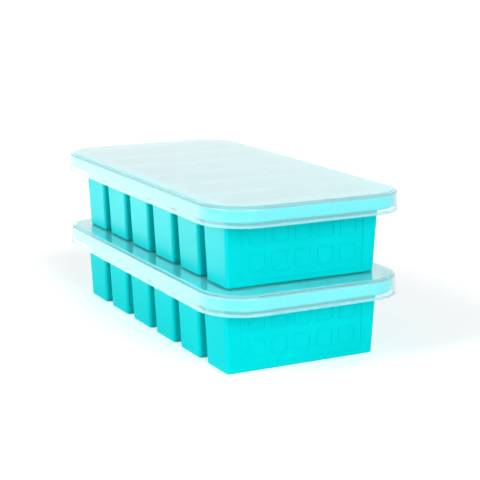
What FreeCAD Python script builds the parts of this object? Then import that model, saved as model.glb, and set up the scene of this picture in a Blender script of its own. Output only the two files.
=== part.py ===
import FreeCAD, Part

# Two lidded silicone freezer trays, one standing on the other, in millimetres.
# +Z is up, the long side runs along X, and the origin is on the ground under the middle.
# Each unit is a silicone tray with a row of deep wells, a closed steel wire loop
# moulded into the tray's rim, and a thin plastic lid whose skirt closes over that rim.

import math
import os

import Sketcher

UNITS = (("lower", "0"), ("upper", "Sizes.lid_top"))

# The driving dimensions: name, value, meaning.
SIZES = (
    ("lid_length", 273.0, "lid over its skirt's lower edge, along X"),
    ("lid_width", 140.0, "lid over its skirt's lower edge, along Y"),
    ("lid_corner", 30.0, "corner radius of the skirt"),
    ("lid_draft", 0.6, "how far the skirt leans in from its foot to its shoulder"),
    ("lid_wall", 1.4, "wall of the lid"),
    ("lid_foot", 42.1, "height of the skirt's lower edge"),
    ("lid_shoulder", 54.4, "height of the shoulder round the top panel"),
    ("lid_top", 55.0, "height of the top panel, where the next tray stands"),
    ("shoulder_width", 2.4, "flat shoulder between the skirt and the top panel"),
    ("panel_slope", 0.6, "width of the sloping step from shoulder to panel"),
    ("skirt_edge_round", 1.6, "rounding where the skirt turns into the shoulder"),
    ("lid_seat", 4.0, "flat ring under the lid that rests on the tray's rim"),
    ("bead_reach", 0.8, "how far the closing bead stands in from the skirt"),
    ("bead_height", 1.3, "height of the closing bead"),
    ("rim_length", 268.0, "tray rim, along X"),
    ("rim_width", 135.0, "tray rim, along Y"),
    ("rim_corner", 27.5, "corner radius of the rim"),
    ("rim_depth", 8.6, "height of the band round the rim"),
    ("rim_band", 6.0, "thickness of the band round the rim"),
    ("rim_round", 1.6, "rounding of the band's outer edges"),
    ("deck", 3.0, "thickness of the web that joins the wells"),
    ("well_count", 6, "number of wells in the row"),
    ("well_pitch", 39.7, "distance from one well to the next"),
    ("block_length", 32.9, "outside of a well where it meets the web, along X"),
    ("block_width", 111.2, "outside of a well where it meets the web, along Y"),
    ("end_lean", 1.9, "how far a well's long walls lean in from the web to the foot"),
    ("side_lean", 2.2, "how far a well's short walls lean in from the web to the foot"),
    ("block_corner", 2.4, "radius of a well's upright outside edges"),
    ("foot_round", 1.3, "rounding round a well's foot"),
    ("well_wall", 2.0, "side wall of a well"),
    ("well_floor", 2.2, "floor of a well"),
    ("well_corner", 5.0, "radius of a well's upright inside corners"),
    ("floor_round", 3.6, "rounding between a well's wall and floor"),
    ("wire", 2.6, "thickness of the steel wire"),
    ("wire_inset", 3.0, "from the rim's edge to the wire's middle"),
    ("wire_drop", 4.6, "from the rim's top to the wire's middle"),
    ("pin_hole", 2.0, "holes under the rim left by the pins that held the wire"),
    ("pin_spacing", 60.0, "distance between those holes"),
    ("panel_frame_length", 89.5, "raised frame on the end wall, along Y"),
    ("panel_frame_height", 40.0, "raised frame on the end wall, up the wall"),
    ("panel_frame_middle", 24.0, "height of the raised frame's middle"),
    ("panel_frame_corner", 3.0, "corner radius of the raised frame"),
    ("panel_frame_line", 1.1, "width of the raised frame's line"),
    ("panel_frame_relief", 0.5, "how far the raised frame stands out"),
)

TANGENT_JOINTS = ((0, 1), (1, 2), (2, 3), (3, 4), (4, 5), (5, 6), (6, 7), (7, 0))


def make_sheet(doc):
    """Write the driving dimensions into a sheet, one named cell each."""
    sheet = doc.addObject("Spreadsheet::Sheet", "Sizes")
    for row, (name, value, meaning) in enumerate(SIZES, start=1):
        sheet.set(f"A{row}", meaning)
        sheet.set(f"B{row}", str(value))
        sheet.setAlias(f"B{row}", name)
    doc.recompute()
    return sheet


def origin_part(body, role):
    """Find one of the body's own planes or axes."""
    return next(item for item in body.Origin.OriginFeatures if item.Role == role)


def new_body(doc, name, base):
    """Start a body that stands at the unit's own height."""
    body = doc.addObject("PartDesign::Body", name)
    body.Label = name
    body.Placement = FreeCAD.Placement()
    body.setExpression("Placement.Base.z", base)
    return body


def new_sketch(body, name, height, plane="XY_Plane"):
    """Start a sketch on one of the body's planes, moved along that plane's normal."""
    sketch = body.newObject("Sketcher::SketchObject", name)
    sketch.AttachmentSupport = [(origin_part(body, plane), "")]
    sketch.MapMode = "FlatFace"
    sketch.setExpression("AttachmentOffset.Base.z", height)
    return sketch


def value_of(item, expression):
    """Read an expression on the sheet as a number."""
    result = item.evalExpression(expression)
    return float(getattr(result, "Value", result))


def draw_rounded_rectangle(sketch, length, width, corner):
    """Draw a rounded rectangle about the sketch's origin, its sizes bound to the sheet."""
    along = value_of(sketch, length) / 2
    across = value_of(sketch, width) / 2
    radius = value_of(sketch, corner)
    first = sketch.GeometryCount
    reach = along - radius
    rise = across - radius
    ends = ((along, -rise), (along, rise), (reach, across), (-reach, across),
            (-along, rise), (-along, -rise), (-reach, -across), (reach, -across))
    centres = ((reach, rise), (-reach, rise), (-reach, -rise), (reach, -rise))
    for side in range(4):
        start = FreeCAD.Vector(*ends[2 * side], 0)
        stop = FreeCAD.Vector(*ends[2 * side + 1], 0)
        sketch.addGeometry(Part.LineSegment(start, stop), False)
        circle = Part.Circle(FreeCAD.Vector(*centres[side], 0), FreeCAD.Vector(0, 0, 1), radius)
        turn = side * math.pi / 2
        sketch.addGeometry(Part.ArcOfCircle(circle, turn, turn + math.pi / 2), False)
    for before, after in TANGENT_JOINTS:
        joint = Sketcher.Constraint("Tangent", first + before, 2, first + after, 1)
        sketch.addConstraint(joint)
    for side, kind in ((0, "Vertical"), (2, "Horizontal"), (4, "Vertical"), (6, "Horizontal")):
        sketch.addConstraint(Sketcher.Constraint(kind, first + side))
    for arc in (3, 5, 7):
        sketch.addConstraint(Sketcher.Constraint("Equal", first + 1, first + arc))
    sketch.addConstraint(Sketcher.Constraint("Symmetric", first + 2, 1, first + 6, 1, -1, 1))
    bind(sketch, Sketcher.Constraint("DistanceX", first + 4, 1, first, 1, 2 * along), length)
    bind(sketch, Sketcher.Constraint("DistanceY", first + 6, 1, first + 2, 1, 2 * across), width)
    bind(sketch, Sketcher.Constraint("Radius", first + 1, radius), corner)


def bind(sketch, constraint, expression):
    """Add a dimension and tie it to the sheet."""
    index = sketch.addConstraint(constraint)
    sketch.setExpression(f"Constraints[{index}]", expression)


def outline(body, name, height, length, width, corner):
    """A level rounded rectangle at a height."""
    sketch = new_sketch(body, name, height)
    draw_rounded_rectangle(sketch, length, width, corner)
    return sketch


def ring(body, name, height, outer, inner):
    """A level band between two rounded rectangles."""
    sketch = new_sketch(body, name, height)
    draw_rounded_rectangle(sketch, *outer)
    draw_rounded_rectangle(sketch, *inner)
    return sketch


def extrude(body, kind, name, sketch, length, down=False):
    """Pad or pocket a sketch; down turns it towards the ground."""
    feature = body.newObject(f"PartDesign::{kind}", name)
    feature.Profile = (sketch, [""])
    feature.Reversed = (kind == "Pad") == down
    feature.setExpression("Length", length)
    return feature


def loft(body, kind, name, first, last):
    """A straight-sided loft from one outline to the other."""
    feature = body.newObject(f"PartDesign::{kind}Loft", name)
    feature.Profile = (first, [""])
    feature.Sections = [(last, [""])]
    feature.Ruled = True
    return feature


def repeat_along_row(body, name, features):
    """Repeat the first well's features for every well of the row."""
    pattern = body.newObject("PartDesign::LinearPattern", name)
    pattern.Originals = features
    pattern.Direction = (origin_part(body, "X_Axis"), [""])
    pattern.setExpression("Length", "Sizes.well_pitch * (Sizes.well_count - 1)")
    pattern.setExpression("Occurrences", "Sizes.well_count")
    body.Tip = pattern
    return pattern


def level_edges(shape, height):
    """Names of the edges that lie level at a height."""
    names = []
    for index, edge in enumerate(shape.Edges, start=1):
        box = edge.BoundBox
        if abs(box.ZMin - height) < 1e-4 and abs(box.ZMax - height) < 1e-4:
            names.append(f"Edge{index}")
    return names


def upright_edges(shape, low, high):
    """Names of the edges that run from one height up to the other."""
    names = []
    for index, edge in enumerate(shape.Edges, start=1):
        box = edge.BoundBox
        if abs(box.ZMin - low) < 1e-4 and abs(box.ZMax - high) < 1e-4:
            names.append(f"Edge{index}")
    return names


def fillet(body, name, base, edges, radius):
    """Round the named edges of a feature."""
    feature = body.newObject("PartDesign::Fillet", name)
    feature.Base = (base, edges)
    feature.setExpression("Radius", radius)
    body.Document.recompute()
    return feature


# Heights that several features share, worked out from the sheet.
RIM_TOP = "(Sizes.lid_shoulder - Sizes.lid_wall)"
WEB_UNDER = f"({RIM_TOP} - Sizes.deck)"
FIRST_WELL = "-Sizes.well_pitch * (Sizes.well_count - 1) / 2"
BLOCK = ("Sizes.block_length", "Sizes.block_width")
CAVITY = ("(Sizes.block_length - 2 * Sizes.well_wall)", "(Sizes.block_width - 2 * Sizes.well_wall)")


def narrowed(size, lean, height):
    """A well's size at a height, narrowed by the lean of its two walls below the web."""
    return f"{size} - 2 * {lean} * ({WEB_UNDER} - ({height})) / {WEB_UNDER}"


def well_wedge(body, kind, name, size, low, high):
    """A block or a cavity of the first well between two heights, narrowed by its walls' lean."""
    feature = body.newObject(f"PartDesign::{kind}Wedge", name)
    feature.AttachmentSupport = [(origin_part(body, "XZ_Plane"), "")]
    feature.MapMode = "FlatFace"
    feature.setExpression("AttachmentOffset.Base.x", FIRST_WELL)
    feature.setExpression("Ymin", low)
    feature.setExpression("Ymax", high)
    length, width = size
    for prefix, height in (("", low), ("2", high)):
        length_there = narrowed(length, "Sizes.end_lean", height)
        width_there = narrowed(width, "Sizes.side_lean", height)
        feature.setExpression(f"X{prefix}min", f"-({length_there}) / 2")
        feature.setExpression(f"X{prefix}max", f"({length_there}) / 2")
        feature.setExpression(f"Z{prefix}min", f"-({width_there}) / 2")
        feature.setExpression(f"Z{prefix}max", f"({width_there}) / 2")
    return feature


def rim_sizes(inset):
    """Length, width and corner of the rim's outline, set in by a distance."""
    length = f"Sizes.rim_length - 2 * ({inset})"
    width = f"Sizes.rim_width - 2 * ({inset})"
    return length, width, f"Sizes.rim_corner - ({inset})"


def lid_sizes(inset):
    """Length, width and corner of the lid's outline, set in by a distance."""
    length = f"Sizes.lid_length - 2 * ({inset})"
    width = f"Sizes.lid_width - 2 * ({inset})"
    return length, width, f"Sizes.lid_corner - ({inset})"


def make_rim(doc, unit, base):
    """The band round the tray and the web across it, with the wells' mouths and the wire's channel."""
    body = new_body(doc, f"{unit}_rim", base)
    top = outline(body, "RimOutline", RIM_TOP, *rim_sizes("0"))
    slab = extrude(body, "Pad", "Rim", top, "Sizes.rim_depth", down=True)
    doc.recompute()
    rim_top = value_of(top, RIM_TOP)
    rim_foot = value_of(top, f"{RIM_TOP} - Sizes.rim_depth")
    edges = level_edges(slab.Shape, rim_top) + level_edges(slab.Shape, rim_foot)
    fillet(body, "RimRounding", slab, edges, "Sizes.rim_round")
    under = outline(body, "WebOutline", WEB_UNDER, *rim_sizes("Sizes.rim_band"))
    extrude(body, "Pocket", "UnderWeb", under, "Sizes.rim_depth", down=True)
    mouth = well_wedge(body, "Subtractive", "Mouth", CAVITY, WEB_UNDER, RIM_TOP)
    mouths = repeat_along_row(body, "Mouths", [mouth])
    doc.recompute()
    corners = upright_edges(mouths.Shape, value_of(top, WEB_UNDER), rim_top)
    fillet(body, "MouthCorners", mouths, corners, "Sizes.well_corner")
    run_wire(body, "Subtractive")
    make_pin_holes(body)
    return body


def make_wells(doc, unit, base):
    """The row of wells under the web: one block and its cavity, repeated, then rounded."""
    body = new_body(doc, f"{unit}_wells", base)
    block = well_wedge(body, "Additive", "Block", BLOCK, "0", WEB_UNDER)
    blocks = repeat_along_row(body, "Blocks", [block])
    doc.recompute()
    web_under = value_of(block, WEB_UNDER)
    corners = upright_edges(blocks.Shape, 0, web_under)
    blocks = fillet(body, "BlockCorners", blocks, corners, "Sizes.block_corner")
    fillet(body, "FootRounding", blocks, level_edges(blocks.Shape, 0), "Sizes.foot_round")
    solid_volume = body.Shape.Volume

    cavity = well_wedge(body, "Subtractive", "Cavity", CAVITY, "Sizes.well_floor", WEB_UNDER)
    hollow = repeat_along_row(body, "Hollows", [cavity])
    doc.recompute()
    floor_height = value_of(cavity, "Sizes.well_floor")
    corners = upright_edges(hollow.Shape, floor_height, web_under)
    hollow = fillet(body, "WellCorners", hollow, corners, "Sizes.well_corner")
    fillet(body, "FloorRounding", hollow, level_edges(hollow.Shape, floor_height),
           "Sizes.floor_round")
    make_end_frame(body)
    doc.recompute()
    print(f"{unit} wells hold {(solid_volume - body.Shape.Volume) / 1000:.0f} ml up to the web")
    return body


def make_end_frame(body):
    """The raised frame on the end wall, on a plane that leans with the wall."""
    sketch = body.newObject("Sketcher::SketchObject", "EndFrameOutline")
    sketch.AttachmentSupport = [(origin_part(body, "YZ_Plane"), "")]
    sketch.MapMode = "FlatFace"
    slope = f"atan(Sizes.end_lean / {WEB_UNDER})"
    reach = narrowed("Sizes.block_length", "Sizes.end_lean", "Sizes.panel_frame_middle")
    sketch.AttachmentOffset = FreeCAD.Placement(
        FreeCAD.Vector(0, 0, 0), FreeCAD.Rotation(FreeCAD.Vector(1, 0, 0), 1.0))
    sketch.setExpression("AttachmentOffset.Rotation.Angle", slope)
    sketch.setExpression("AttachmentOffset.Base.y", "Sizes.panel_frame_middle")
    sketch.setExpression("AttachmentOffset.Base.z", f"-({FIRST_WELL}) + ({reach}) / 2")
    draw_rounded_rectangle(sketch, "Sizes.panel_frame_length", "Sizes.panel_frame_height",
                           "Sizes.panel_frame_corner")
    draw_rounded_rectangle(sketch, "Sizes.panel_frame_length - 2 * Sizes.panel_frame_line",
                           "Sizes.panel_frame_height - 2 * Sizes.panel_frame_line",
                           "Sizes.panel_frame_corner - Sizes.panel_frame_line")
    frame = body.newObject("PartDesign::Pad", "EndFrame")
    frame.Profile = (sketch, [""])
    frame.Midplane = True
    frame.setExpression("Length", "2 * Sizes.panel_frame_relief")


def wire_path(body, name):
    """The closed path of the wire's middle, level in the rim."""
    return outline(body, name, f"{RIM_TOP} - Sizes.wire_drop", *rim_sizes("Sizes.wire_inset"))


def wire_section(body, name):
    """The wire's round section, across the path where it runs along X."""
    sketch = new_sketch(body, name, "0", plane="YZ_Plane")
    across = "Sizes.rim_width / 2 - Sizes.wire_inset"
    height = f"{RIM_TOP} - Sizes.wire_drop"
    middle = FreeCAD.Vector(value_of(sketch, across), value_of(sketch, height), 0)
    circle = Part.Circle(middle, FreeCAD.Vector(0, 0, 1), value_of(sketch, "Sizes.wire / 2"))
    sketch.addGeometry(circle, False)
    bind(sketch, Sketcher.Constraint("DistanceX", -1, 1, 0, 3, middle.x), across)
    bind(sketch, Sketcher.Constraint("DistanceY", -1, 1, 0, 3, middle.y), height)
    bind(sketch, Sketcher.Constraint("Diameter", 0, 2 * circle.Radius), "Sizes.wire")
    return sketch


def run_wire(body, kind):
    """Sweep the wire's section once round its path."""
    path = wire_path(body, "WirePath")
    section = wire_section(body, "WireSection")
    pipe = body.newObject(f"PartDesign::{kind}Pipe", "Wire")
    pipe.Profile = (section, [""])
    pipe.Spine = (path, [f"Edge{index}" for index in range(1, 9)])
    body.Document.recompute()
    return pipe


def make_pin_holes(body):
    """Holes from under the rim up to the wire, in a row along each long side."""
    path_side = "Sizes.rim_width / 2 - Sizes.wire_inset"
    sketch = new_sketch(body, "PinHoleOutline", f"{RIM_TOP} - Sizes.rim_depth")
    side = value_of(sketch, path_side)
    spacing = value_of(sketch, "Sizes.pin_spacing")
    radius = value_of(sketch, "Sizes.pin_hole / 2")
    for index, (column, row) in enumerate(((-1, -1), (0, -1), (1, -1), (-1, 1), (0, 1), (1, 1))):
        middle = FreeCAD.Vector(column * spacing, row * side, 0)
        sketch.addGeometry(Part.Circle(middle, FreeCAD.Vector(0, 0, 1), radius), False)
        bind(sketch, Sketcher.Constraint("Diameter", index, 2 * radius), "Sizes.pin_hole")
        if column == 0:
            sketch.addConstraint(Sketcher.Constraint("PointOnObject", index, 3, -2))
        elif column < 0:
            bind(sketch, Sketcher.Constraint("DistanceX", index, 3, -1, 1, spacing), "Sizes.pin_spacing")
        else:
            bind(sketch, Sketcher.Constraint("DistanceX", -1, 1, index, 3, spacing), "Sizes.pin_spacing")
        if row < 0:
            bind(sketch, Sketcher.Constraint("DistanceY", index, 3, -1, 1, side), path_side)
        else:
            bind(sketch, Sketcher.Constraint("DistanceY", -1, 1, index, 3, side), path_side)
    depth = "Sizes.rim_depth - Sizes.wire_drop"
    pocket = body.newObject("PartDesign::Pocket", "PinHoles")
    pocket.Profile = (sketch, [""])
    pocket.Reversed = True
    pocket.setExpression("Length", depth)
    body.Document.recompute()


def make_tray(doc, unit, base):
    """The silicone tray of a unit: its rim, and its wells that hang from the rim's web.

    They are moulded in one. Here they meet face to face under the web, as solids of one piece.
    """
    tray = doc.addObject("Part::Compound", f"{unit}_tray")
    tray.Label = f"{unit}_tray"
    tray.Links = [make_rim(doc, unit, base), make_wells(doc, unit, base)]
    doc.recompute()
    return tray


def make_rim_frame(doc, unit, base):
    """The steel wire loop inside the rim of a unit."""
    body = new_body(doc, f"{unit}_rim_frame", base)
    run_wire(body, "Additive")
    return body


def make_lid(doc, unit, base):
    """The thin lid: skirt, shoulder, raised panel and closing bead."""
    body = new_body(doc, f"{unit}_lid", base)
    foot = outline(body, "SkirtFoot", "Sizes.lid_foot", *lid_sizes("0"))
    shoulder = outline(body, "SkirtShoulder", "Sizes.lid_shoulder", *lid_sizes("Sizes.lid_draft"))
    skirt = loft(body, "Additive", "Skirt", foot, shoulder)
    doc.recompute()
    edges = level_edges(skirt.Shape, value_of(foot, "Sizes.lid_shoulder"))
    fillet(body, "SkirtRounding", skirt, edges, "Sizes.skirt_edge_round")

    step = "Sizes.lid_draft + Sizes.shoulder_width"
    step_foot = outline(body, "PanelFoot", "Sizes.lid_shoulder", *lid_sizes(step))
    step_top = outline(body, "PanelTop", "Sizes.lid_top", *lid_sizes(f"{step} + Sizes.panel_slope"))
    loft(body, "Additive", "Panel", step_foot, step_top)

    inner_foot = outline(body, "InnerFoot", "Sizes.lid_foot", *lid_sizes("Sizes.lid_wall"))
    inner_top = outline(body, "InnerTop", RIM_TOP, *lid_sizes("Sizes.lid_wall + Sizes.lid_draft"))
    loft(body, "Subtractive", "Hollow", inner_foot, inner_top)
    seat = "Sizes.lid_draft + Sizes.lid_wall + Sizes.lid_seat"
    under_foot = outline(body, "UnderPanelFoot", RIM_TOP, *lid_sizes(seat))
    under_top = outline(body, "UnderPanelTop", "Sizes.lid_top - Sizes.lid_wall",
                        *lid_sizes(f"{seat} + Sizes.panel_slope"))
    loft(body, "Subtractive", "UnderPanel", under_foot, under_top)
    doc.recompute()

    bead_outer = lid_sizes("Sizes.lid_wall / 2")
    bead_inner = lid_sizes("Sizes.lid_wall + Sizes.bead_reach")
    bead = ring(body, "BeadOutline", "Sizes.lid_foot", bead_outer, bead_inner)
    extrude(body, "Pad", "Bead", bead, "Sizes.bead_height")
    doc.recompute()
    return body


def check(doc, pieces):
    """Stop if any object failed or any piece isn't sound: one solid, or a rim and its wells."""
    tray_solids = 1 + dict((name, value) for name, value, _ in SIZES)["well_count"]
    for item in doc.Objects:
        if "Invalid" in item.State or "Error" in item.State:
            raise RuntimeError(f"{item.Name} failed: {item.State}")
    for piece in pieces:
        shape = piece.Shape
        expected = tray_solids if piece.TypeId == "Part::Compound" else 1
        if shape.isNull() or not shape.isValid() or len(shape.Solids) != expected:
            raise RuntimeError(f"{piece.Label} is not sound: {len(shape.Solids)} solids")
        box = shape.optimalBoundingBox(True, False)
        print(f"{piece.Label}: {shape.Volume / 1000:.1f} ml,",
              f"{box.XLength:.1f} x {box.YLength:.1f} x {box.ZLength:.1f} mm,",
              f"z {box.ZMin:.2f} to {box.ZMax:.2f}, solids {len(shape.Solids)}")


def main():
    """Make both units, check them and write one file per piece."""
    doc = FreeCAD.newDocument("freezer_trays")
    make_sheet(doc)
    pieces = []
    for unit, base in UNITS:
        pieces.append(make_tray(doc, unit, base))
        pieces.append(make_rim_frame(doc, unit, base))
        pieces.append(make_lid(doc, unit, base))
    doc.recompute()
    check(doc, pieces)
    os.makedirs("parts", exist_ok=True)
    for piece in pieces:
        piece.Shape.exportStep(f"parts/{piece.Label}.step")


main()
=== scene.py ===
# %% [markdown]
# # Two lidded freezer trays for baby food
# The six deep wells of a tray are filled with purée, the lid is closed and the portions
# freeze. Two closed trays stand on each other. Each tray is soft turquoise silicone, its
# lid is thin milky plastic, and a steel wire hidden in the rim keeps the soft tray level.
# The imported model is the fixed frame: sizes and places come from it, in metres.

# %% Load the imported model
import math

import bmesh
import bpy
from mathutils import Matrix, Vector


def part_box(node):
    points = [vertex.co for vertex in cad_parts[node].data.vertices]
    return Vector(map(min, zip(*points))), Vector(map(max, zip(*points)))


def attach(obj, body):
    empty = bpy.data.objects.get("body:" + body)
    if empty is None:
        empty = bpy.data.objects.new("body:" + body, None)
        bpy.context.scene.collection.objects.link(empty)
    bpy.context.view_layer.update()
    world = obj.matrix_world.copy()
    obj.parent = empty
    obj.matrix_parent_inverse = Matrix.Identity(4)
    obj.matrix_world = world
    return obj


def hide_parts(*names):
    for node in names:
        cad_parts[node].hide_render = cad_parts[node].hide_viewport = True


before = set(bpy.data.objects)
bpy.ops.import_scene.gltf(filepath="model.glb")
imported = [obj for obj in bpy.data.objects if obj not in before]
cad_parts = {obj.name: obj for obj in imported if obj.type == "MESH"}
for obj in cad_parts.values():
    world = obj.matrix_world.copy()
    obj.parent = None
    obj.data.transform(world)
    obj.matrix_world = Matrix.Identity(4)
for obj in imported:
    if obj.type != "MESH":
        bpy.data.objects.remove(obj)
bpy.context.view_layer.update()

# %% [markdown]
# The silicone tray and the lid are each one moulding. The frame says how big they are,
# and the dimensions below, in millimetres, say how their walls run. They could all be
# typed in, but what the frame already knows is read from it, so the two can't disagree.

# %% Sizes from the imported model, in millimetres
MM = 0.001
tray_low, tray_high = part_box("lower_tray")
lid_low, lid_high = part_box("lower_lid")
RIM_LENGTH = (tray_high.x - tray_low.x) / MM
RIM_WIDTH = (tray_high.y - tray_low.y) / MM
RIM_TOP = tray_high.z / MM
LID_LENGTH = (lid_high.x - lid_low.x) / MM
LID_WIDTH = (lid_high.y - lid_low.y) / MM
LID_FOOT = lid_low.z / MM
LID_TOP = lid_high.z / MM
print(f"rim {RIM_LENGTH:.1f} x {RIM_WIDTH:.1f}, top {RIM_TOP:.1f}")
print(f"lid {LID_LENGTH:.1f} x {LID_WIDTH:.1f}, from {LID_FOOT:.1f} to {LID_TOP:.1f}")

# %% Sizes of the silicone's walls
RIM_CORNER, RIM_DEPTH, RIM_BAND, RIM_ROUND = 27.5, 8.6, 6.0, 1.6
WEB = 3.0
WEB_UNDER = RIM_TOP - WEB
WELLS, PITCH = 6, 39.7
# Length and width of a well's outside just under the web, and how far each of its sides
# leans in on the way down to the foot.
BLOCK = (32.9, 111.2)
LEAN = (1.9, 2.2)
BLOCK_CORNER, FOOT_ROUND, ROOT_ROUND = 2.4, 1.3, 1.2
WALL, FLOOR = 2.0, 2.2
CAVITY = (BLOCK[0] - 2 * WALL, BLOCK[1] - 2 * WALL)
WELL_CORNER, FLOOR_ROUND, MOUTH_ROUND = 5.0, 3.6, 0.9
print(f"gap between two wells under the web: {PITCH - BLOCK[0]:.1f} mm")

# %% [markdown]
# A few helpers do what a hand does in the viewport: select one object, select edges or
# faces by where they are, and run an operator on them. An operator works on all that is
# selected, so each helper clears the selection first. Building the meshes from lists of
# points would work too, but steps like these can be tried by hand and changed one by one.


# %% Helpers: open one piece in edit mode
def only(piece):
    """Make one object the selected and active one."""
    bpy.ops.object.select_all(action="DESELECT")
    piece.select_set(True)
    bpy.context.view_layer.objects.active = piece


def start_edit(piece, kind="EDGE"):
    """Open a piece in edit mode with nothing selected."""
    only(piece)
    bpy.ops.object.mode_set(mode="EDIT")
    bpy.ops.mesh.select_mode(type=kind)
    bpy.ops.mesh.select_all(action="DESELECT")


def end_edit():
    """Close the piece that is open in edit mode."""
    bpy.ops.object.mode_set(mode="OBJECT")


# %% Helpers: select by place
# Two heights count as one when they are this close, in millimetres.
CLOSE = 0.01
# How much of an edge or a normal has to point one way.
MOSTLY = 0.9


def pick(piece, kind, test):
    """Select the edges or faces of the open piece that pass the test."""
    shape = bmesh.from_edit_mesh(piece.data)
    items = {"EDGE": shape.edges, "FACE": shape.faces}[kind]
    found = [item for item in items if test(item)]
    for item in found:
        item.select_set(True)
    bmesh.update_edit_mesh(piece.data)
    return len(found)


def ends(edge):
    """Both ends of an edge, in millimetres."""
    return [vertex.co / MM for vertex in edge.verts]


def level_at(height):
    """A test for edges that lie level at a height."""
    return lambda edge: all(abs(end.z - height) < CLOSE for end in ends(edge))


def is_upright(edge):
    """True for an edge that climbs much more than it runs."""
    low, high = ends(edge)
    return abs(high.z - low.z) > (high - low).length * MOSTLY


def has_turn(edge, degrees=30):
    """True where the two faces at an edge meet at an angle."""
    return len(edge.link_faces) == 2 and edge.calc_face_angle(0) > math.radians(degrees)


# %% Helpers: a box and its bevels
def bevel(offset, segments):
    """Round the selected edges by a size in millimetres."""
    bpy.ops.mesh.bevel(offset=offset * MM, segments=segments, affect="EDGES", clamp_overlap=False)


def box(name, low, high):
    """A box between two corners, with its place in its mesh."""
    middle = [(a + b) / 2 * MM for a, b in zip(low, high)]
    size = [(b - a) * MM for a, b in zip(low, high)]
    bpy.ops.object.select_all(action="DESELECT")
    bpy.ops.mesh.primitive_cube_add(size=1, location=middle, scale=size)
    piece = bpy.context.object
    piece.name = piece.data.name = name
    bpy.ops.object.transform_apply(location=True, rotation=True, scale=True)
    return piece


def rounded_slab(name, length, width, corner, low, high, segments=16):
    """A level slab about the Z axis with round upright corners."""
    piece = box(name, (-length / 2, -width / 2, low), (length / 2, width / 2, high))
    start_edit(piece)
    pick(piece, "EDGE", is_upright)
    bevel(corner, segments)
    end_edit()
    return piece


# %% Helpers: join, cut and copy
def combine(piece, tool, operation):
    """Join a tool to a piece or cut it away, and remove the tool."""
    only(piece)
    step = piece.modifiers.new("combine", "BOOLEAN")
    step.operation = operation
    step.solver = "EXACT"
    step.object = tool
    bpy.ops.object.modifier_apply(modifier=step.name)
    bpy.data.objects.remove(tool)


def copied(piece, name, shift):
    """A copy with its own mesh, moved by a distance in millimetres."""
    twin = piece.copy()
    twin.data = piece.data.copy()
    twin.name = twin.data.name = name
    bpy.context.scene.collection.objects.link(twin)
    only(twin)
    twin.location = Vector(shift) * MM
    bpy.ops.object.transform_apply(location=True, rotation=False, scale=False)
    return twin


# %% [markdown]
# On the real tray a thick band runs round the top, and a web inside it joins the wells.
# Both could be swept along a path. A slab with round corners, rounded over at its edges
# and hollowed from below, gives band and web at once and keeps their thickness exact.

# %% The band and the web
# How far a cutter or a joined block runs past the face where it has to end.
PAST = 1.0
tray = rounded_slab("lower_tray_silicone", RIM_LENGTH, RIM_WIDTH, RIM_CORNER,
                    RIM_TOP - RIM_DEPTH, RIM_TOP)
start_edit(tray)
pick(tray, "EDGE", level_at(RIM_TOP))
pick(tray, "EDGE", level_at(RIM_TOP - RIM_DEPTH))
bevel(RIM_ROUND, segments=4)
end_edit()
hollow = rounded_slab("under_web", RIM_LENGTH - 2 * RIM_BAND, RIM_WIDTH - 2 * RIM_BAND,
                      RIM_CORNER - RIM_BAND, RIM_TOP - RIM_DEPTH - PAST, WEB_UNDER)
combine(tray, hollow, "DIFFERENCE")
print("band and web faces:", len(tray.data.polygons))

# %% [markdown]
# A well leans in towards its foot so that the frozen portion slides out. The outside and
# the inside of a well are the same form at two sizes: a box whose lower end is scaled in,
# with its upright edges and its lower edges bevelled. One function makes both. A solidify
# modifier could give the wall instead, but its inside corners would follow the outside's.


# %% A leaning block
def size_at(size, height):
    """Length and width of a well's outside or inside at a height."""
    share = (WEB_UNDER - height) / WEB_UNDER
    return [whole - 2 * lean * share for whole, lean in zip(size, LEAN)]


def widen(x_factor, y_factor):
    """Scale what is selected about the Z axis."""
    bpy.ops.transform.resize(value=(x_factor, y_factor, 1), center_override=(0, 0, 0))


def leaning_block(name, size, low, high, corner, foot, segments):
    """A box that narrows downwards, with round upright edges and a round foot."""
    top_length, top_width = size_at(size, high)
    foot_length, foot_width = size_at(size, low)
    piece = box(name, (-top_length / 2, -top_width / 2, low), (top_length / 2, top_width / 2, high))
    start_edit(piece)
    pick(piece, "EDGE", level_at(low))
    widen(foot_length / top_length, foot_width / top_width)
    bpy.ops.mesh.select_all(action="DESELECT")
    pick(piece, "EDGE", is_upright)
    bevel(corner, segments)
    bpy.ops.mesh.select_all(action="DESELECT")
    pick(piece, "EDGE", level_at(low))
    bevel(foot, segments)
    end_edit()
    return piece


# %% [markdown]
# Six blocks are joined to the web and then six cavities are cut, each a copy of one model.
# The blocks rise a little into the web and the cavities a little past the rim, so that no
# two faces lie in one plane, which an exact boolean would have to guess about.

# %% Six wells
block = leaning_block("block", BLOCK, 0, WEB_UNDER + PAST, BLOCK_CORNER, FOOT_ROUND, segments=5)
cavity = leaning_block("cavity", CAVITY, FLOOR, RIM_TOP + PAST, WELL_CORNER, FLOOR_ROUND,
                       segments=6)
middles = [(well - (WELLS - 1) / 2) * PITCH for well in range(WELLS)]
for middle in middles:
    combine(tray, copied(block, "one_block", (middle, 0, 0)), "UNION")
for middle in middles:
    combine(tray, copied(cavity, "one_cavity", (middle, 0, 0)), "DIFFERENCE")
for used in (block, cavity):
    bpy.data.objects.remove(used)
print("tray faces:", len(tray.data.polygons))

# %% [markdown]
# A soft moulding has no sharp edge. The edges round each mouth and the roots of the
# blocks under the web are found by their height and place, and bevelled too. A bevel
# modifier would round every edge alike, and these two need different sizes.

# %% Round the mouths and the roots
# The row of wells is taken this much larger, so that its own edges fall inside it.
MARGIN = 1.0
half_row = middles[-1] + BLOCK[0] / 2 + MARGIN
half_width = BLOCK[1] / 2 + MARGIN


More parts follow.
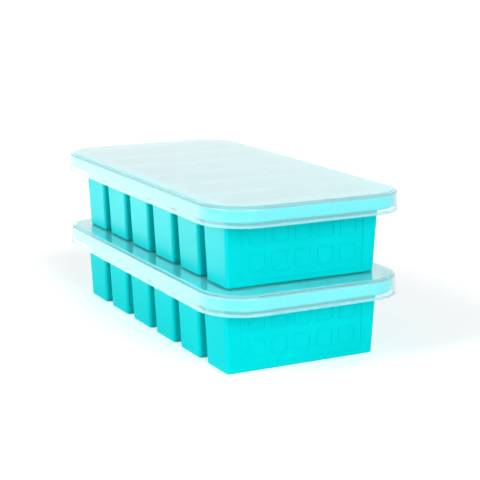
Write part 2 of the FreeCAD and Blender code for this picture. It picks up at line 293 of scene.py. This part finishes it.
def in_row(edge):
    """True for an edge that lies within the row of wells."""
    return all(abs(end.x) < half_row and abs(end.y) < half_width for end in ends(edge))


start_edit(tray)
mouths = pick(tray, "EDGE", lambda e: level_at(RIM_TOP)(e) and in_row(e) and has_turn(e))
bevel(MOUTH_ROUND, segments=3)
bpy.ops.mesh.select_all(action="DESELECT")
roots = pick(tray, "EDGE", lambda e: level_at(WEB_UNDER)(e) and in_row(e) and has_turn(e))
bevel(ROOT_ROUND, segments=3)
end_edit()
print("mouth edges:", mouths, "root edges:", roots)

# %% [markdown]
# Inside each well two thin grooves mark 60 and 120 ml. Their heights come from the
# well's own size: thin slices of it are added up from the floor until they hold so much.
# The cutter for a line is a slab a little wider than the well, so it cuts a groove. A
# line drawn in the finish alone would be missing from the mesh.

# %% Where the fill lines are
SLICE = 0.05
CUBIC_MM_IN_ML = 1000


def fill_height(millilitres):
    """Height at which a well holds so much. Its rounded floor takes a little away."""
    held = -2 * (CAVITY[0] + CAVITY[1]) * (1 - math.pi / 4) * FLOOR_ROUND ** 2
    height = FLOOR
    while held < millilitres * CUBIC_MM_IN_ML:
        length, width = size_at(CAVITY, height)
        held += (length * width - (4 - math.pi) * WELL_CORNER ** 2) * SLICE
        height += SLICE
    return height


# %% Cut the fill lines
LINE_HEIGHT, LINE_DEPTH, LINE_SEGMENTS = 0.8, 0.35, 6
for amount in (60, 120):
    height = fill_height(amount)
    length, width = size_at(CAVITY, height)
    line = rounded_slab("fill_line", length + 2 * LINE_DEPTH, width + 2 * LINE_DEPTH,
                        WELL_CORNER + LINE_DEPTH, height - LINE_HEIGHT / 2,
                        height + LINE_HEIGHT / 2, LINE_SEGMENTS)
    for middle in middles:
        combine(tray, copied(line, "one_line", (middle, 0, 0)), "DIFFERENCE")
    bpy.data.objects.remove(line)
    print(f"{amount} ml line at {height:.1f} mm")

# %% [markdown]
# Under the rim are six small holes, where pins held the wire in the mould while the
# silicone was cast round it. Dark dots in the finish would do from afar. A plain round
# cutter that runs from below the rim up to the wire makes a real hole, and the steel
# shows in it.

# %% Pin holes
PIN_HOLE, PIN_SPACING, PIN_SIDES = 2.0, 60.0, 20
WIRE_INSET, WIRE_DROP = 3.0, 4.6
pin_top, pin_foot = RIM_TOP - WIRE_DROP, RIM_TOP - RIM_DEPTH - PAST
for side in (-1, 1):
    for column in (-1, 0, 1):
        bpy.ops.object.select_all(action="DESELECT")
        bpy.ops.mesh.primitive_cylinder_add(
            vertices=PIN_SIDES, radius=PIN_HOLE / 2 * MM, depth=(pin_top - pin_foot) * MM,
            location=(column * PIN_SPACING * MM, side * (RIM_WIDTH / 2 - WIRE_INSET) * MM,
                      (pin_top + pin_foot) / 2 * MM))
        combine(tray, bpy.context.object, "DIFFERENCE")
print(f"pin holes {pin_top - pin_foot - PAST:.1f} mm deep")

# %% [markdown]
# The end wall carries a thin raised frame, and in it stand two rows of plain rounded
# squares in the same fine line. Such relief could be bump in the finish, but only a real
# edge catches light from every side. Frame and squares are the same form at two sizes: a
# rounded plate with a smaller one cut out of it, softened at the edges that show.

# %% A raised line
# Width of the line, how far it stands out of the wall, how far it is sunk into it, and
# how much its outer edges are softened.
FRAME_LINE, RELIEF, SUNK, LINE_SOFT = 1.1, 0.5, 0.7, 0.25


def plate(name, length, height, corner, low, high):
    """An upright plate between two distances along X, with its four corners rounded."""
    piece = box(name, (low, -length / 2, -height / 2), (high, length / 2, height / 2))
    start_edit(piece)
    pick(piece, "EDGE", lambda e: abs(ends(e)[0].x - ends(e)[1].x) > CLOSE)
    bevel(corner, segments=5)
    end_edit()
    return piece


def at_front(edge):
    """True for an edge in the plane that the relief rises to."""
    return all(abs(end.x - RELIEF) < CLOSE for end in ends(edge))


def raised_line(name, length, height, corner):
    """A closed line that stands out of the plane x = 0."""
    line = plate(name, length, height, corner, -SUNK, RELIEF)
    inside = plate("inside", length - 2 * FRAME_LINE, height - 2 * FRAME_LINE,
                   corner - FRAME_LINE, -SUNK - PAST, RELIEF + PAST)
    combine(line, inside, "DIFFERENCE")
    start_edit(line)
    pick(line, "EDGE", lambda e: at_front(e) and has_turn(e))
    bevel(LINE_SOFT, segments=2)
    end_edit()
    return line


# %% The frame and its squares
FRAME_LENGTH, FRAME_HEIGHT, FRAME_CORNER = 89.5, 40.0, 3.0
SQUARE, SQUARE_CORNER = 12.5, 2.6
COLUMNS, COLUMN_STEP, ROW_STEP = 5, 16.5, 17.0
relief = raised_line("relief", FRAME_LENGTH, FRAME_HEIGHT, FRAME_CORNER)
square = raised_line("square", SQUARE, SQUARE, SQUARE_CORNER)
columns = [(column - (COLUMNS - 1) / 2) * COLUMN_STEP for column in range(COLUMNS)]
squares = [copied(square, "one_square", (0, column, row * ROW_STEP))
           for row in (-0.5, 0.5) for column in columns]
bpy.data.objects.remove(square)
only(relief)
for one in squares:
    one.select_set(True)
bpy.ops.object.join()
print("squares:", len(squares))

# %% [markdown]
# The relief was made upright, where it is easy to lay out. Now it is moved to the wall,
# tipped by the wall's own angle and joined to it, so that it stands out evenly all over.
# Left upright, it would stick out at the foot and sink in at the top. The printed reach
# shows that it is tipped the right way: the wall leans out towards the top.

# %% Put the relief on the end wall
FRAME_MIDDLE = 24.0
wall_face = middles[-1] + size_at(BLOCK, FRAME_MIDDLE)[0] / 2
wall_tilt = math.atan(LEAN[0] / WEB_UNDER)
start_edit(relief)
bpy.ops.mesh.select_all(action="SELECT")
bpy.ops.transform.translate(value=(wall_face * MM, 0, FRAME_MIDDLE * MM))
bpy.ops.transform.rotate(value=-wall_tilt, orient_axis="Y",
                         center_override=Vector((wall_face, 0, FRAME_MIDDLE)) * MM)
end_edit()
corners = [vertex.co / MM for vertex in relief.data.vertices]
below = max(corner.x for corner in corners if corner.z < FRAME_MIDDLE)
above = max(corner.x for corner in corners if corner.z > FRAME_MIDDLE)
print(f"relief reaches x {below:.2f} below its middle and {above:.2f} above")
combine(tray, relief, "UNION")

# %% [markdown]
# The lid is a shallow cap. Its skirt closes over the rim, a narrow shoulder runs round
# the top, and the panel inside it stands 0.6 mm higher. It could be turned from a profile
# only if it were round, so it starts as a slab: the top face is inset and raised for the
# panel, and the edge of the skirt is bevelled.


# %% Helpers for the lid
def faces_at(height, facing):
    """A test for level faces at a height that look up (1) or down (-1)."""
    return lambda face: (abs(face.calc_center_median().z / MM - height) < CLOSE
                         and face.normal.z * facing > MOSTLY)


def grow(before, after):
    """Scale what is selected from one set-in of the lid's outline to another."""
    widen((LID_LENGTH - 2 * after) / (LID_LENGTH - 2 * before),
          (LID_WIDTH - 2 * after) / (LID_WIDTH - 2 * before))


def raise_face(height):
    """Extrude what is selected upwards."""
    bpy.ops.mesh.extrude_region_move(TRANSFORM_OT_translate={"value": (0, 0, height * MM)})


# %% The lid's outside
LID_CORNER, LID_DRAFT, LID_WALL = 30.0, 0.6, 1.4
SHOULDER, PANEL_SLOPE, EDGE_ROUND = 2.4, 0.6, 1.6
LID_SHOULDER = RIM_TOP + LID_WALL
# The skirt's top edge turns by more than this, in degrees, and the panel's edge by less.
SKIRT_TURN = 58
lid = rounded_slab("lower_lid_shell", LID_LENGTH, LID_WIDTH, LID_CORNER, LID_FOOT,
                   LID_SHOULDER, segments=20)
start_edit(lid, "FACE")
pick(lid, "FACE", faces_at(LID_SHOULDER, 1))
grow(0, LID_DRAFT)
bpy.ops.mesh.inset(thickness=SHOULDER * MM)
raise_face(LID_TOP - LID_SHOULDER)
grow(LID_DRAFT + SHOULDER, LID_DRAFT + SHOULDER + PANEL_SLOPE)
bpy.ops.mesh.select_mode(type="EDGE")
bpy.ops.mesh.select_all(action="DESELECT")
rounded = pick(lid, "EDGE", lambda e: level_at(LID_SHOULDER)(e) and has_turn(e, SKIRT_TURN))
bevel(EDGE_ROUND, segments=5)
end_edit()
print("edges rounded on the skirt:", rounded)

# %% [markdown]
# The hollow is made as the mould's core makes it: the foot is inset by the wall and the
# bead, raised past the bead, widened to the wall and raised to the underside of the top.
# A last inset leaves the flat seat that rests on the tray's rim. Cutting a smaller slab
# out of the lid would do too, but each step of the core would need a slab of its own. The
# wall is cut round at the bead's height, so that the foot can have a finish of its own: the
# paler plastic that stands partly for its thicker wall and partly for a painted highlight.

# %% The lid's hollow
SEAT, BEAD_REACH, BEAD_HEIGHT = 4.0, 0.8, 1.3
start_edit(lid, "FACE")
pick(lid, "FACE", faces_at(LID_FOOT, -1))
bpy.ops.mesh.inset(thickness=(LID_WALL + BEAD_REACH) * MM)
raise_face(BEAD_HEIGHT)
raise_face(BEAD_REACH / 2)
grow(LID_WALL + BEAD_REACH, LID_WALL)
raise_face(RIM_TOP - LID_FOOT - BEAD_HEIGHT - BEAD_REACH / 2)
grow(LID_WALL, LID_WALL + LID_DRAFT)
bpy.ops.mesh.inset(thickness=SEAT * MM)
raise_face(LID_TOP - LID_SHOULDER)
bpy.ops.mesh.select_all(action="SELECT")
bpy.ops.mesh.bisect(plane_co=(0, 0, (LID_FOOT + BEAD_HEIGHT) * MM), plane_no=(0, 0, 1))
end_edit()
print("lid faces:", len(lid.data.polygons))

# %% [markdown]
# Flat faces beside narrow bevels shade best when each corner's normal leans towards its
# largest face. Smooth shading by angle keeps the sharp edges, and a weighted normal does
# the leaning. More bevel segments would help as well, at the price of many more faces.

# %% Shading
# An edge that turns by more than this, in degrees, stays sharp.
SHARP_TURN = 35


def finish_surface(piece):
    """Smooth the bevels and keep the flat faces flat."""
    only(piece)
    bpy.ops.object.shade_smooth_by_angle(angle=math.radians(SHARP_TURN))
    step = piece.modifiers.new("normals", "WEIGHTED_NORMAL")
    step.keep_sharp = True
    bpy.ops.object.modifier_apply(modifier=step.name)


for piece in (tray, lid):
    finish_surface(piece)
    shape = bmesh.new()
    shape.from_mesh(piece.data)
    open_edges = sum(not edge.is_manifold for edge in shape.edges)
    print(f"{piece.name}: {len(shape.faces)} faces, {open_edges} open edges")
    shape.free()

# %% [markdown]
# The second unit is the same two mouldings. It stands on the lower lid, so it is copied
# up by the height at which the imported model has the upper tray's foot.

# %% Both units
upper_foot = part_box("upper_tray")[0].z / MM
upper_tray = copied(tray, "upper_tray_silicone", (0, 0, upper_foot))
upper_lid = copied(lid, "upper_lid_shell", (0, 0, upper_foot))
print(f"upper unit stands at {upper_foot:.1f} mm")

# %% [markdown]
# Colours are written as sRGB hex and turned to linear by one function, one function adds
# a node with its settings and links, and one turns the real size of a pattern's grains
# into a noise scale. Object coordinates are in metres and the pieces sit at the origin,
# so a scale is how many grains fit in a metre.


# %% Helpers for finishes
def srgb(code):
    """An sRGB hex colour as linear values with alpha."""
    values = [int(code[at:at + 2], 16) / 255 for at in (1, 3, 5)]
    linear = [v / 12.92 if v <= 0.04045 else ((v + 0.055) / 1.055) ** 2.4 for v in values]
    return (*linear, 1.0)


def node(owner, kind, inputs=None, **settings):
    """Add a node to a material or the world, set it up and link or fill its inputs."""
    made = owner.node_tree.nodes.new(kind)
    for name, value in settings.items():
        setattr(made, name, value)
    for name, value in (inputs or {}).items():
        if isinstance(value, bpy.types.NodeSocket):
            owner.node_tree.links.new(value, made.inputs[name])
        else:
            made.inputs[name].default_value = value
    return made


def grains_of(millimetres):
    """A noise scale at which one grain is so wide."""
    return 1 / (millimetres * MM)


# %% Helpers for a material's start and end
def new_material(name):
    """An empty material."""
    material = bpy.data.materials.new(name)
    material.use_nodes = True
    material.node_tree.nodes.clear()
    return material


def set_surface(material, socket):
    """Show a shader on the surface."""
    node(material, "ShaderNodeOutputMaterial", {"Surface": socket})
    return material


# %% [markdown]
# Platinum-cured silicone comes out of a blasted steel mould: satin and saturated, with no
# sharp highlight, only a soft sheen where a face is seen at a low angle. The pigment
# clouds a little over a few centimetres, which a noise between two close colours gives.
# The grain of the blasted mould is about 0.05 mm across and wouldn't show, so it is drawn
# nine times as coarse.

# %% Silicone: colour and grain
CLOUD_SIZE, BLAST_GRAIN = 55.0, 0.45
silicone = new_material("moulded_silicone_satin")
place = node(silicone, "ShaderNodeTexCoord")
clouds = node(silicone, "ShaderNodeTexNoise", {
    "Vector": place.outputs["Object"], "Scale": grains_of(CLOUD_SIZE), "Detail": 3.0})
tint = node(silicone, "ShaderNodeValToRGB", {"Fac": clouds.outputs["Fac"]})
tint.color_ramp.elements[0].position = 0.3
tint.color_ramp.elements[0].color = srgb("#00e0e2")
tint.color_ramp.elements[1].position = 0.7
tint.color_ramp.elements[1].color = srgb("#00e6e9")
satin = node(silicone, "ShaderNodeMapRange", {
    "Value": clouds.outputs["Fac"], "To Min": 0.36, "To Max": 0.44})
grain = node(silicone, "ShaderNodeTexNoise", {
    "Vector": place.outputs["Object"], "Scale": grains_of(BLAST_GRAIN), "Detail": 2.0})
bump = node(silicone, "ShaderNodeBump", {
    "Height": grain.outputs["Fac"], "Strength": 0.12, "Distance": 0.0001})

# %% Silicone: shader
shader = node(silicone, "ShaderNodeBsdfPrincipled", {
    "Base Color": tint.outputs["Color"], "Normal": bump.outputs["Normal"],
    "Roughness": satin.outputs["Result"], "IOR": 1.41, "Specular IOR Level": 0.035})
set_surface(silicone, shader.outputs["BSDF"])
print("silicone nodes:", len(silicone.node_tree.nodes))

# %% [markdown]
# The lid is injection-moulded polypropylene, milky and polished. Seen straight on it lets
# the turquoise through, and seen along its face it turns pale. A coat with the IOR of the
# real plastic gives it the gloss. The body bends light less than that, because a wall so
# thin shows things behind it where they are. The foot and the rounding of the shoulder get
# a paler, less clear plastic. Part of that is the thicker wall at the bead, and part is a
# painted highlight, so that these edges read as the pale lines that light draws where the
# eye looks along the wall.
# Flow marks of a moulded lid are about a millimetre wide and very shallow. Shadow rays
# pass straight through, so the tray under the lid stays lit.


# %% Polypropylene
FLOW_MARK = 1.1


def polypropylene(name, colour, clear_share):
    """Polished milky plastic that lets a share of the light through."""
    plastic = new_material(name)
    place = node(plastic, "ShaderNodeTexCoord")
    marks = node(plastic, "ShaderNodeTexNoise", {
        "Vector": place.outputs["Object"], "Scale": grains_of(FLOW_MARK), "Detail": 2.0})
    bump = node(plastic, "ShaderNodeBump", {
        "Height": marks.outputs["Fac"], "Strength": 0.04, "Distance": 0.0001})
    shader = node(plastic, "ShaderNodeBsdfPrincipled", {
        "Base Color": srgb(colour), "Normal": bump.outputs["Normal"], "Roughness": 0.14,
        "IOR": 1.2, "Transmission Weight": clear_share,
        "Coat Weight": 1.0, "Coat IOR": 1.49, "Coat Roughness": 0.06})
    path = node(plastic, "ShaderNodeLightPath")
    clear = node(plastic, "ShaderNodeBsdfTransparent", {"Color": srgb("#c8e2e5")})
    mixed = node(plastic, "ShaderNodeMixShader", {
        0: path.outputs["Is Shadow Ray"], 1: shader.outputs["BSDF"], 2: clear.outputs["BSDF"]})
    return set_surface(plastic, mixed.outputs["Shader"])


thin_plastic = polypropylene("milky_polypropylene", "#e6f1f3", 0.91)
# The paler, less clear plastic for the lid's foot and shoulder: partly its thicker wall, partly a
# painted pale highlight line.
thick_and_painted_highlight_plastic = polypropylene("milky_polypropylene_thick_and_painted_highlight", "#b9eef2", 0.5)
print("plastics:", thin_plastic.name, thick_and_painted_highlight_plastic.name)

# %% [markdown]
# The rim's wire is drawn stainless steel. It is hidden but for the small holes under the
# rim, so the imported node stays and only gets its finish. Drawing leaves streaks about a
# tenth of a millimetre wide. They are drawn as patches of 1.4 mm, which show as a slightly
# uneven gloss.

# %% Steel
PATCH = 1.4
steel = new_material("drawn_stainless_steel")
place = node(steel, "ShaderNodeTexCoord")
streaks = node(steel, "ShaderNodeTexNoise", {
    "Vector": place.outputs["Object"], "Scale": grains_of(PATCH), "Detail": 2.0})
rough = node(steel, "ShaderNodeMapRange", {
    "Value": streaks.outputs["Fac"], "To Min": 0.25, "To Max": 0.45})
shader = node(steel, "ShaderNodeBsdfPrincipled", {
    "Base Color": srgb("#b9bbbd"), "Metallic": 1.0, "Roughness": rough.outputs["Result"]})
set_surface(steel, shader.outputs["BSDF"])
print("steel nodes:", len(steel.node_tree.nodes))

# %% [markdown]
# Each piece gets its finish, rides on its body and takes the place of its imported node, so
# that a lid lifts with its own joint. The lid's foot and the rounding of its shoulder get
# the paler plastic, partly for the thicker wall at the bead and partly as a painted pale
# highlight along these edges. They could be pieces of their own, but the real lid is one
# moulding, so the faces of one mesh get two materials.


# %% Helpers: a piece's finish
# A face turns from the skirt to the top when its normal's Z lies between these.
UPRIGHT_FACE, LEVEL_FACE = 0.15, 0.97


def dress(piece, material):
    """Give a piece its finish."""
    piece.data.materials.clear()
    piece.data.materials.append(material)


def at_an_edge(face, foot):
    """True for the faces of a lid's foot and of its shoulder's rounding, which get the paler
    plastic with its painted highlight.
    """
    level = face.center.z / MM - foot
    high = level > LID_SHOULDER - LID_FOOT - EDGE_ROUND
    turning = UPRIGHT_FACE < abs(face.normal.z) < LEVEL_FACE
    return level < BEAD_HEIGHT or (high and turning)


# %% Give each piece its finish and its body
for unit, tray_piece, lid_piece in (("lower", tray, lid), ("upper", upper_tray, upper_lid)):
    dress(tray_piece, silicone)
    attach(tray_piece, f"{unit}_unit")
    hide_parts(f"{unit}_tray")
    dress(lid_piece, thin_plastic)
    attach(lid_piece, f"{unit}_lid")
    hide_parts(f"{unit}_lid")
    lid_piece.data.materials.append(thick_and_painted_highlight_plastic)
    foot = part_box(f"{unit}_lid")[0].z / MM
    for face in lid_piece.data.polygons:
        face.material_index = int(at_an_edge(face, foot))
    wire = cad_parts[f"{unit}_rim_frame"]
    wire.data.materials.clear()
    wire.data.materials.append(steel)
    print(unit, "lid faces at an edge:", sum(f.material_index for f in lid_piece.data.polygons))

# %% [markdown]
# The photograph looks past one short end, from a little above. A camera could be set by
# eye, but its lens and its distance are hard to tell apart that way. This one was fitted
# to measured corners of the trays: direction, distance, aim and focal length in pixels.

# %% Camera
PICTURE = 480
SENSOR = 36.0
FOCAL_PIXELS = 1384.6
AZIMUTH, ELEVATION = math.radians(62.527), math.radians(12.463)
DISTANCE = 967.5
AIM = Vector((10.96, 9.0, 60.0))


def direction(bearing, rise):
    """The way from the trays towards a bearing from -Y and a rise, both in radians."""
    return Vector((math.sin(bearing) * math.cos(rise), -math.cos(bearing) * math.cos(rise),
                   math.sin(rise)))


back = direction(AZIMUTH, ELEVATION)
camera = bpy.data.objects.new("camera", bpy.data.cameras.new("camera"))
bpy.context.scene.collection.objects.link(camera)
camera.location = (AIM + back * DISTANCE) * MM
camera.rotation_euler = (-back).to_track_quat("-Z", "Y").to_euler()
camera.data.sensor_width = SENSOR
camera.data.lens = FOCAL_PIXELS * SENSOR / PICTURE
bpy.context.scene.camera = camera
print(f"lens {camera.data.lens:.0f} mm")

# %% [markdown]
# The set is a white table under an even white sky. Where the eye sees them straight, in
# gloss or through clear plastic, sky and table are white, and where they light the trays
# they are dimmer. A brighter lamp would whiten them too, but would bleach the silicone.


# %% Where the set is seen
def background_share(owner):
    """1 where the eye sees the set straight, in gloss or through plastic, 0 where it lights."""
    path = node(owner, "ShaderNodeLightPath")
    straight = node(owner, "ShaderNodeMath", {
        0: path.outputs["Is Camera Ray"], 1: path.outputs["Is Glossy Ray"]}, operation="MAXIMUM")
    through = node(owner, "ShaderNodeMath", {
        0: straight.outputs["Value"], 1: path.outputs["Is Transmission Ray"]}, operation="MAXIMUM")
    return through.outputs["Value"]


# %% Table
# Side of the table in metres, and the glow that lifts its paint to white where it is seen.
TABLE_SIZE, TABLE_LIFT = 12, 0.38
bpy.ops.object.select_all(action="DESELECT")
bpy.ops.mesh.primitive_plane_add(size=TABLE_SIZE)
floor = bpy.context.object
floor.name = "floor"
white = new_material("white_table")
paint = node(white, "ShaderNodeBsdfDiffuse", {"Color": srgb("#f7f7f7")})
glow = node(white, "ShaderNodeEmission", {"Color": srgb("#ffffff"), "Strength": TABLE_LIFT})
both = node(white, "ShaderNodeAddShader", {0: paint.outputs["BSDF"], 1: glow.outputs["Emission"]})
seen = node(white, "ShaderNodeMixShader", {
    0: background_share(white), 1: paint.outputs["BSDF"], 2: both.outputs["Shader"]})
set_surface(white, seen.outputs["Shader"])
floor.data.materials.append(white)
print("table side", TABLE_SIZE, "m")

# %% Sky
SKY_LIGHT, SKY_SEEN = 0.26, 1.0
world = bpy.data.worlds.new("white_sky")
bpy.context.scene.world = world
world.use_nodes = True
world.node_tree.nodes.clear()
strength = node(world, "ShaderNodeMapRange", {
    "Value": background_share(world), "To Min": SKY_LIGHT, "To Max": SKY_SEEN})
sky = node(world, "ShaderNodeBackground", {
    "Color": srgb("#ffffff"), "Strength": strength.outputs["Result"]})
node(world, "ShaderNodeOutputWorld", {"Surface": sky.outputs["Background"]})
print("sky lights at", SKY_LIGHT, "and is seen at", SKY_SEEN)

# %% [markdown]
# One soft sun lights the long side, one the short end, and a weak low one the two sides
# that the camera doesn't see. Gloss doesn't show that one, or the lid's top would mirror
# it into the camera. Suns light the whole table evenly, where lamps near the trays would
# leave its far end grey.


# %% Suns
def sun(name, bearing, height, level, spread=30):
    """A soft sun: bearing, height and spread in degrees, and a level of 1 for a white card."""
    light = bpy.data.lights.new(name, "SUN")
    light.energy = level * math.pi
    light.angle = math.radians(spread)
    fixture = bpy.data.objects.new(name, light)
    bpy.context.scene.collection.objects.link(fixture)
    towards = direction(math.radians(bearing), math.radians(height))
    fixture.rotation_euler = (-towards).to_track_quat("-Z", "Y").to_euler()
    return fixture


sun("side_sun", bearing=0, height=32, level=0.50)
sun("end_sun", bearing=90, height=32, level=0.53)
back_sun = sun("back_sun", bearing=225, height=12, level=0.14, spread=60)
back_sun.visible_glossy = False

# %% [markdown]
# White cards give the gloss something to mirror, as cards beside a product do in a studio.
# Real cards would also brighten the colours, so only gloss sees these, and each shines on
# its own pieces. Two stand beside the long side, one for the lids and one for the trays,
# and a low one stands in front of the short end.


# %% Cards for the gloss
def card(name, place, aim, length, height, radiance, pieces):
    """A card at a place in millimetres that faces an aim. Its radiance is 1 for white."""
    light = bpy.data.lights.new(name, "AREA")
    light.shape = "RECTANGLE"
    light.size, light.size_y = length * MM, height * MM
    light.energy = math.pi * length * height * MM ** 2 * radiance
    fixture = bpy.data.objects.new(name, light)
    bpy.context.scene.collection.objects.link(fixture)
    fixture.location = Vector(place) * MM
    fixture.rotation_euler = (Vector(aim) - Vector(place)).to_track_quat("-Z", "Y").to_euler()
    fixture.visible_camera = False
    fixture.visible_diffuse = False
    fixture.visible_transmission = False
    lit = bpy.data.collections.new(name)
    for piece in pieces:
        lit.objects.link(piece)
    fixture.light_linking.receiver_collection = lit


card("side_card_lids", place=(-65, -116, 58), aim=(-65, 0, 58), length=430, height=86,
     radiance=1.2, pieces=(lid, upper_lid))
card("side_card_trays", place=(-125, -116, 58), aim=(-125, 0, 58), length=310, height=86,
     radiance=8.4, pieces=(tray, upper_tray))
card("end_card", place=(336, 60, 15), aim=(0, 60, 15), length=400, height=24,
     radiance=0.5, pieces=(lid,))
bpy.context.scene.view_settings.view_transform = "Standard"
print("lights:", [light.name for light in bpy.data.lights])
